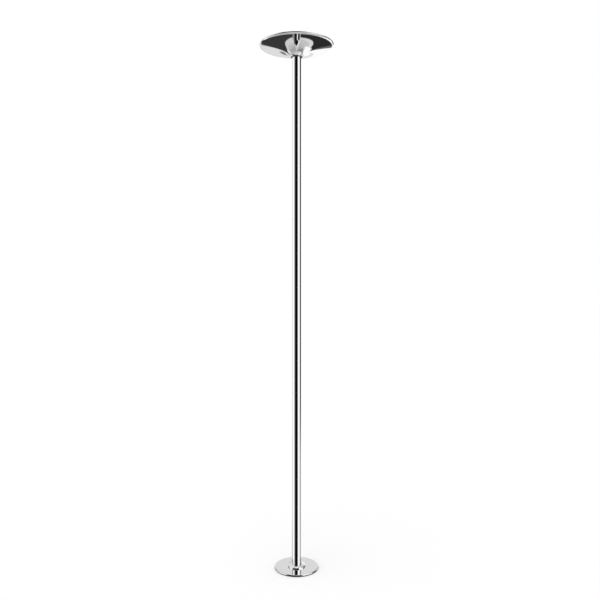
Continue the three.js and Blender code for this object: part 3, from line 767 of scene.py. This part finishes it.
class MakeSpindle(Operator):
    """Make the screwed spindle on its round foot, and the washer and cap screw that stop the hub"""

    bl_idname = "dance_pole.make_spindle"
    bl_label = "Spindle"

    radius, chamfer = 0.008, 0.0015
    foot_thickness, foot_chamfer, press_fit = 0.005, 0.001, 0.00004
    tapped_radius, tapped_depth = 0.0043, 0.0141
    stop_radius, stop_pitch, stop_thread = 0.004, 0.00125, 0.00068
    stop_head, stop_flats, stop_socket = 0.0065, 0.006, 0.004

    def execute(self, context):
        sizes, (low, high, _) = context.scene.pole_sizes, span("spindle")
        radius, hole, top = self.radius, self.tapped_radius, low + self.foot_thickness
        pitch, floor = sizes.spindle_pitch, high - self.tapped_depth
        rows = [
            plain((0, low), (radius - FINE, low), (radius, low + FINE), (radius, top + 0.003)),
            threaded(radius, top + 0.0032, high - self.chamfer - 0.0001, pitch, sizes.spindle_depth, 16),
            plain((radius, high - self.chamfer), (radius - self.chamfer, high), (hole + FINE, high)),
            plain((hole, high - FINE), (hole, floor), (0, floor - 0.001)),
        ]
        seat(screwed("spindle_rod", rows, 48, pitch), "spindle", zinc_plate)
        self.make_foot()
        self.make_stop()
        return {"FINISHED"}

    def make_foot(self):
        low, _, foot = span("spindle")
        top, fit, bevel = low + self.foot_thickness, self.radius + self.press_fit, self.foot_chamfer
        corners = [(fit, low), (foot, low), (foot, top - bevel)]
        corners += [(foot - bevel, top), (fit, top)]
        holes = screw_holes("base_screw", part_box("base_screw_1")[1].z + FINE, upward=True)
        turn_piece("spindle", zinc_plate, "part", corners, cutters=holes, name="spindle_foot")

    def make_stop(self):
        low, high, radius = span("spindle_stop_washer")
        bore = self.tapped_radius
        corners = [(bore, low), (radius, low), (radius, high, SOFT), (bore, high)]
        turn_piece("spindle_stop_washer", zinc_plate, "part", corners)
        node, shank, head = "spindle_stop_screw", self.stop_radius, self.stop_head
        end, top, _ = span(node)
        rows = [
            plain((0, end), (shank - 0.0008, end), (shank, end + 0.0008)),
            threaded(shank, end + 0.0009, high - 0.001, self.stop_pitch, self.stop_thread),
            plain((shank, high - 0.0009), (shank, high), (head - 0.0001, high), (head, high + 0.0001)),
            plain((head, top - 0.0006), (head - 0.0002, top - 0.0002), (head - 0.0006, top)),
            socket(self.stop_flats, top, top - self.stop_socket),
            plain((0, top - self.stop_socket - 0.0006)),
        ]
        seat(screwed(f"{node}_fine", rows, 48, self.stop_pitch), node, black_steel)


class MakeAdjuster(Operator):
    """Make the nut hub, the bearing housing and the two lock screws, and finish the hub's clip"""

    bl_idname = "dance_pole.make_adjuster"
    bl_label = "Adjuster"

    hub_bore, hub_flange, hub_step = 0.0084, 0.0035, 0.0018
    relief, lock_hole = 0.0034, 0.0043
    lock_tip, lock_length = 0.0138, 0.0075

    def execute(self, context):
        low, high, shoulder = span("adjuster_hub")
        bore, flange, journal = self.hub_bore, low + self.hub_flange, shoulder - self.hub_step
        corners = [(bore, low, BROKEN), (shoulder, low), (shoulder, flange), (journal, flange)]
        corners += [*clip_groove("hub_clip", journal), (journal, high, BROKEN), (bore, high, BROKEN)]
        turn_piece("adjuster_hub", turned_steel, "part", corners)
        dress("hub_clip", black_steel)
        self.make_housing()
        for node in ("lock_screw_1", "lock_screw_2"):
            side = outward(node)
            tip = side * self.lock_tip + Vector((0, 0, middle(node).z))
            set_screw(node, LOCK_SCREW, self.lock_length, side, tip)
        return {"FINISHED"}

    def make_housing(self):
        low, high, radius = span("bearing_housing")
        low_race, high_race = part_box("low_outer_race"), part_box("high_outer_race")
        fit, top, bottom = low_race[1].x + FIT, high_race[0].z, low_race[1].z
        relief = fit - self.relief
        corners = [(fit, low), (radius, low, SOFT), (radius, high, SOFT), (fit, high)]
        corners += [(fit, top), (relief, top), (relief, bottom), (fit, bottom)]
        screws = ("lock_screw_1", "lock_screw_2")
        cutters = [bar(screw, self.lock_hole, relief, radius) for screw in screws]
        turn_piece("bearing_housing", turned_steel, "part", corners, cutters=cutters)


class MakeBearings(Operator):
    """Make the races, balls and cages of the three bearings"""

    bl_idname = "dance_pole.make_bearings"
    bl_label = "Bearings"

    pitch, track, ball, ball_count = 0.0155, 0.0019, 0.00175, 10
    races = {"inner": (0.0126, 0.0143, 180), "outer": (0.0185, 0.0167, 0)}
    cage_wall, cage_height, cage_wave, cage_facets = 0.0004, 0.001, 0.0002, 120

    def execute(self, context):
        for place in ("low", "high", "top"):
            self.make_races(place)
            self.make_balls(f"{place}_ball_cage")
            self.make_cage(f"{place}_ball_cage")
        return {"FINISHED"}

    def make_races(self, place):
        """Both races, each from its wall's radius, its land's radius and the side of its track."""
        low, high, _ = span(f"{place}_inner_race")
        for kind, (wall, land, turn) in self.races.items():
            first, last = (low, high) if kind == "inner" else (high, low)
            spread = math.degrees(math.acos(abs(self.pitch - land) / self.track))
            track = arc(self.pitch, (low + high) / 2, self.track, turn + spread, turn - spread, 10)
            corners = [(land, first, FINE), *track, (land, last, FINE)]
            corners += [(wall, last, FINE), (wall, first, FINE)]
            turn_piece(f"{place}_{kind}_race", bearing_steel, "part", corners)

    def make_balls(self, node):
        """Balls on the pitch circle as one piece, each a grid of rises and turns."""
        rise = np.linspace(-math.pi / 2, math.pi / 2, 13)[:, None]
        ball = self.ball * around(np.cos(rise), turns(20), np.sin(rise))
        merged = bmesh.new()
        for origin in around(self.pitch, turns(self.ball_count), middle(node).z):
            piece = lattice("ball", ball + origin)
            merged.from_mesh(piece.data)
            bpy.data.objects.remove(piece)
        mesh = bpy.data.meshes.new(f"{node}_balls")
        merged.to_mesh(mesh)
        merged.free()
        seat(linked(mesh), node, bearing_steel, stands_for=False)

    def make_cage(self, node):
        """A pressed ring, its half height = cage_height + cage_wave * cos(ball_count * turn)."""
        angle = turns(self.cage_facets)
        half = self.cage_height + self.cage_wave * np.cos(self.ball_count * angle)
        half = np.minimum(half, middle(node).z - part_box(node)[0].z)
        side = np.array([(-1, -1), (1, -1), (1, 1), (-1, 1)], float)
        height = middle(node).z + side[:, 1:] * half
        points = around(self.pitch + self.cage_wall * side[:, :1], angle, height)
        seat(lattice(f"{node}_fine", points, closed=True), node, pressed_brass)


class MakeDome(Operator):
    """Make the spun ceiling dome and the nylon bush in its throat"""

    bl_idname = "dance_pole.make_dome"
    bl_label = "Ceiling dome"

    depth, edge_radius, lip_width = 0.0615, 0.002, 0.009
    shoulder_start, shoulder_end = -81, -30
    throat_shares, rim_shares = (0.16, 0.64), (0.59, 0.82)
    bush_gap, bush_lip, bush_play = 0.0005, 0.0015, 0.0003

    def execute(self, context):
        sizes = context.scene.pole_sizes
        outside = self.outside(sizes)
        corners = [*outside, *offset_inward(outside, sizes.dome_wall)[::-1]]
        turn_piece("dome_shell", chrome_spun, "disc", corners)
        low, high, lip = span("throat_bush")
        bore, top = sizes.pole_diameter / 2 + self.bush_gap, low + self.bush_lip
        body = lip - sizes.dome_wall - self.bush_play
        corners = [(bore, low, SOFT), (lip, low, BROKEN), (lip, top), (body, top)]
        corners += [(body, high, SOFT), (bore, high, SOFT)]
        turn_piece("throat_bush", turned_nylon, "tube", corners)
        return {"FINISHED"}

    def outside(self, sizes):
        """The dome's outside from its throat over the turned-up shoulder to the lip on its rim plane."""
        _, high, radius = span("dome_shell")
        throat, rim, bend = sizes.dome_throat / 2, high - sizes.dome_wall, self.edge_radius
        edge_centre, inward = (radius - bend, rim - bend), sizes.dome_shoulder - bend
        end = math.radians(self.shoulder_end)
        centre = (edge_centre[0] - inward * math.cos(end), edge_centre[1] - inward * math.sin(end))
        shoulder = arc(*centre, sizes.dome_shoulder, self.shoulder_start, self.shoulder_end, 18)
        edge = arc(*edge_centre, bend, self.shoulder_end, 90, 10)[1:]
        bottom, last = (throat, rim - self.depth), shoulder[0][:2]
        flare = sweep_curve(bottom, last, self.throat_shares, self.rim_shares, 56)[:-1]
        line = np.vstack([flare, shoulder, edge, [(edge_centre[0] - self.lip_width, rim, 0)]])
        line[[0, -1], 2] = SHARP
        return line


class MakeCeilingMount(Operator):
    """Make the load plate, ceiling pad, spigot, its screws and the top housing, and finish the clip"""

    bl_idname = "dance_pole.make_ceiling_mount"
    bl_label = "Ceiling mount"

    rib_shares = np.linspace(0.94, 0.2, 9)
    rib_outer, rib_inner, rib_depth, pad_edge = 0.0022, 0.001, 0.0007, 0.001
    journal, shoulder, fillet = 0.0125, 0.0143, 0.0008
    flange_thickness, housing_bore = 0.005, 0.0151

    def execute(self, context):
        low, high, radius = span("ceiling_plate")
        corners = [(0, low), (radius, low), (radius, high), (0, high)]
        cutters = screw_holes("spigot_screw", low - THROUGH)
        turn_piece("ceiling_plate", rolled_aluminium, "disc", corners, cutters=cutters)
        flat_screws("spigot_screw")
        dress("spigot_clip", black_steel)
        self.make_pad()
        self.make_spigot()
        self.make_housing()
        return {"FINISHED"}

    def make_pad(self):
        """The pad: a disc with concentric grip ribs on the face that meets the ceiling."""
        low, high, radius = span("ceiling_pad")
        floor = high - self.rib_depth
        corners = [(0, low), (radius, low), (radius, high, self.pad_edge)]
        for rib in self.rib_shares * radius:
            corners += [(rib + self.rib_outer, high, FINE), (rib + self.rib_inner, floor, FINE)]
            corners += [(rib - self.rib_inner, floor, FINE), (rib - self.rib_outer, high, FINE)]
        corners += [(0, high)]
        turn_piece("ceiling_pad", moulded_rubber, "disc", corners)

    def make_spigot(self):
        low, high, flange = span("top_spigot")
        journal, shoulder, under = self.journal, self.shoulder, high - self.flange_thickness
        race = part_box("top_inner_race")[1].z
        corners = [(0, low), (journal, low, BROKEN), *clip_groove("spigot_clip", journal)]
        corners += [(journal, race), (shoulder, race), (shoulder, under, self.fillet)]
        corners += [(flange, under, SOFT), (flange, high), (0, high)]
        cutters = screw_holes("spigot_screw", under - THROUGH)
        turn_piece("top_spigot", turned_steel, "part", corners, cutters=cutters)

    def make_housing(self):
        low, high, radius = span("top_housing")
        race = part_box("top_outer_race")
        fit, bore, seat_height = race[1].x + FIT, self.housing_bore, race[0].z
        corners = [(bore, low), (radius, low, SOFT), (radius, high, SOFT), (fit, high)]
        corners += [(fit, seat_height), (bore, seat_height)]
        turn_piece("top_housing", turned_steel, "part", corners)


# Studio


def studio_map(bench):
    """What polished metal sees in each direction: white walls, black cards, grey flags, as a level.

    Azimuth is 0 towards the camera and grows to the right, elevation is above the horizon, both in
    degrees. Each layer covers the ones before it by its mask: level + mask * (new - level).
    """
    x, y, z = bench.apart(bench.node("TexCoord", output="Generated"))
    az = bench.maths("ARCTAN2", x, -y) * math.degrees(1)
    el = bench.maths("ARCSINE", z) * math.degrees(1)
    side, left, low = bench.maths("ABSOLUTE", az), -az, -el
    is_left = az < 0
    wall_top = el.fall(70, 78)

    def either(on_left, on_right):
        return is_left * (on_left - on_right) + on_right

    # Floor behind at the right, the slanted edge of its dark strip, and the leaning flag
    behind_right = 0.70 - low.rise(38, 43) * 0.15 - low.rise(50, 62) * 0.13
    slant = az * 0.43
    lean = az - low * 0.466 + 172
    # Edges of the wings behind
    lower = either(39.1 + az.rise(-178, -158) * 5, 39.3 - left.rise(-179, -166) * 5)
    upper, reach = either(20.5, 16.8), 132.5 + low.rise(22, 44) * 18
    wing = either(left.rise(reach - 1, reach + 1), az.rise(160.5, 163.5))
    # The dark screen at the right, which reaches further back above el -16
    bent = az + el.fall(-16, -10) * 28
    screen = az.rise(87, 92) * bent.fall(152, 158) * low.fall(26, 32)
    shown = 0.04 - el.rise(12, 18) * 0.035 + el.rise(20.5, 22.5) * 0.24 + low.rise(6, 26) * 0.22
    # The card round the camera, which widens and then comes to a point on the floor
    wide, point = low.rise(41, 44), low.rise(48, 60)
    start, end = wide * -34 + point * 78 - 68, 28 + wide * 26 - point * 50
    card = az.within(start, start + 24 - wide * 8, end, end + 7) * low.fall(56, 61)
    # The ring of floor that the dome's throat mirrors
    throat = low.within(34, 36, 41.5, 44)

    layers = [
        # Wall above at the left, and the floor: left, right, sides close by, in front, underneath
        (left.rise(58, 84) * el.rise(21, 28), 0.72 - el.rise(34, 60) * 0.1),
        (low.rise(26, 40) * left.rise(40, 60), 0.60 - low.rise(48, 64) * 0.18),
        (low.rise(30, 44) * az.within(30, 50, 116, 130), 0.84 - low.rise(66, 84) * 0.4),
        (low.rise(60, 72) * side.rise(60, 90), 0.44),
        (side.fall(40, 60) * low.rise(34, 44), 0.84 - low.rise(52, 60) * 0.22),
        (low.rise(78, 88), 0.46),
        # Grey walls behind, the one at the left level and both above
        (left.rise(108, 122) * low.fall(24, 30) * el.fall(26, 30), 0.74),
        (side.rise(120, 150) * el.rise(18, 21), 0.71 + el.rise(40, 60) * 0.1),
        # Floor behind: at the left, at the right, and nearer at the right
        (left.rise(134, 146) * low.rise(37, 41), 0.62 - low.rise(44, 56) * 0.12 - low.rise(56, 68) * 0.12),
        (az.rise(158, 163) * low.rise(26, 34), behind_right),
        (az.rise(134, 146) * low.rise(46, 54), 0.50 - low.rise(54, 66) * 0.1),
        # A pale strip on the floor at the left that fades nearer by, and a dark one at the right
        (left.within(104, 110, 141, 147) * low.rise(31, 34), 1 - low.rise(30, 60) * 0.62),
        (az.within(104, 114, 146, 152) * low.rise(slant - 10.5, slant - 4.5), 0.27),
        # Flags behind: a leaning one at the left, a patch under it, a level one at the right
        (lean.within(-3.5, -1, 1.5, 4) * low.within(-12, -8, 10, 13), 0.2),
        (left.within(133, 136, 147, 150) * low.within(12.5, 14.5, 20, 22), 0.3),
        (az.rise(172, 174) * el.within(-3, -1, 2, 5), 0.75),
        # Black wings low behind on both sides, and a small dark flag over the right one
        (wing * low.within(upper - 1.4, upper + 1.4, lower - 0.45, lower + 0.45), either(0.038, 0.024)),
        (az.rise(165, 168) * low.within(15.5, 17, 19, 21), 0.13),
        # The dark screen, and a grey one at the left
        (screen * wall_top, shown),
        (left.within(96, 104, 148, 154) * el.rise(20.5, 22.5) * wall_top, 0.24),
        # The black card
        (card * el.fall(58, 66), 0.034 - az.rise(-24, -10) * 0.033),
        # The throat's ring from left to right, and its pale gap
        (throat * az.within(-130, -120, -66, -58), 0.15),
        (throat * az.within(-64, -56, 0, 8), 0.004),
        (throat * az.within(38, 44, 122, 132), 0.02),
        (throat * az.within(8, 14, 34, 40), 0.8),
    ]
    level = 1
    for mask, new in layers:
        level = level + mask * (new - level)
    return level


class SetStudio(Operator):
    """Set the pale floor, the soft light, the surround that the metal mirrors, and the camera"""

    bl_idname = "dance_pole.set_studio"
    bl_label = "Studio"

    floor_reach = 40
    key_turn = (math.radians(18), math.radians(-14), 0)
    sensor_width, shift = 36, (0.0057, -0.0335)

    def execute(self, context):
        scene = context.scene
        scene.view_settings.view_transform = "Standard"
        self.make_floor()
        self.make_world(scene, scene.pole_finishes.surround)
        self.make_light(scene.pole_finishes)
        self.make_camera(scene, scene.pole_finishes)
        return {"FINISHED"}

    def make_floor(self):
        square = np.array([(-1, -1, 0), (1, -1, 0), (1, 1, 0), (-1, 1, 0)])
        mesh = bpy.data.meshes.new("studio_floor")
        mesh.from_pydata(square * self.floor_reach, [], [(0, 1, 2, 3)])
        mesh.materials.append(material(studio_floor))
        floor = linked(mesh)
        floor.visible_glossy = False

    def make_world(self, scene, surround):
        """Metal sees the studio map, the camera sees white, and all else an even surround."""
        scene.world = bpy.data.worlds.new("studio_surround")
        scene.world.use_nodes = True
        bench = Bench(scene.world.node_tree)
        glossy = bench.node("LightPath", output="Is Glossy Ray")
        direct = bench.node("LightPath", output="Is Camera Ray")
        level = glossy * (studio_map(bench) - surround) + surround
        level = direct * (1 - level) + level
        light = bench.node("Background", {"Color": WHITE, "Strength": level})
        bench.node("OutputWorld", {"Surface": light})

    def make_light(self, finishes):
        lamp = bpy.data.lights.new("soft_key", "SUN")
        lamp.energy, lamp.angle = finishes.key_light, finishes.key_softness
        key = linked(lamp)
        key.rotation_euler = self.key_turn
        key.visible_glossy = False

    def make_camera(self, scene, finishes):
        lens = bpy.data.cameras.new("studio_camera")
        lens.lens, lens.sensor_width = finishes.lens, self.sensor_width
        lens.shift_x, lens.shift_y = self.shift
        camera = linked(lens)
        camera.location = (0, -finishes.camera_distance, finishes.camera_height)
        camera.rotation_euler = (math.radians(90), 0, 0)
        scene.camera = camera


OPERATORS = (
    MakeTubes,
    MakeJoiners,
    MakeFloorBase,
    MakeCollar,
    MakeSpindle,
    MakeAdjuster,
    MakeBearings,
    MakeDome,
    MakeCeilingMount,
    SetStudio,
)


class PolePanel(Panel):
    """Lists the pole's pieces, sizes and finishes"""

    bl_idname = "VIEW3D_PT_dance_pole"
    bl_label = "Dance Pole"
    bl_space_type = "VIEW_3D"
    bl_region_type = "UI"
    bl_category = "Dance Pole"

    def draw(self, context):
        for operator in OPERATORS:
            self.layout.operator(operator.bl_idname)
        for group in (context.scene.pole_sizes, context.scene.pole_finishes):
            box = self.layout.box()
            for name in group.__annotations__:
                box.prop(group, name)


CLASSES = (PoleSizes, PoleFinishes, *OPERATORS, PolePanel)


def register():
    for kind in CLASSES:
        bpy.utils.register_class(kind)
    Scene.pole_sizes = PointerProperty(type=PoleSizes)
    Scene.pole_finishes = PointerProperty(type=PoleFinishes)


def unregister():
    del Scene.pole_finishes
    del Scene.pole_sizes
    for kind in reversed(CLASSES):
        bpy.utils.unregister_class(kind)


def main():
    """Registers the add-on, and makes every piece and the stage."""
    register()
    for operator in OPERATORS:
        group, name = operator.bl_idname.split(".")
        getattr(getattr(bpy.ops, group), name)()


if __name__ == "__main__":
    main()
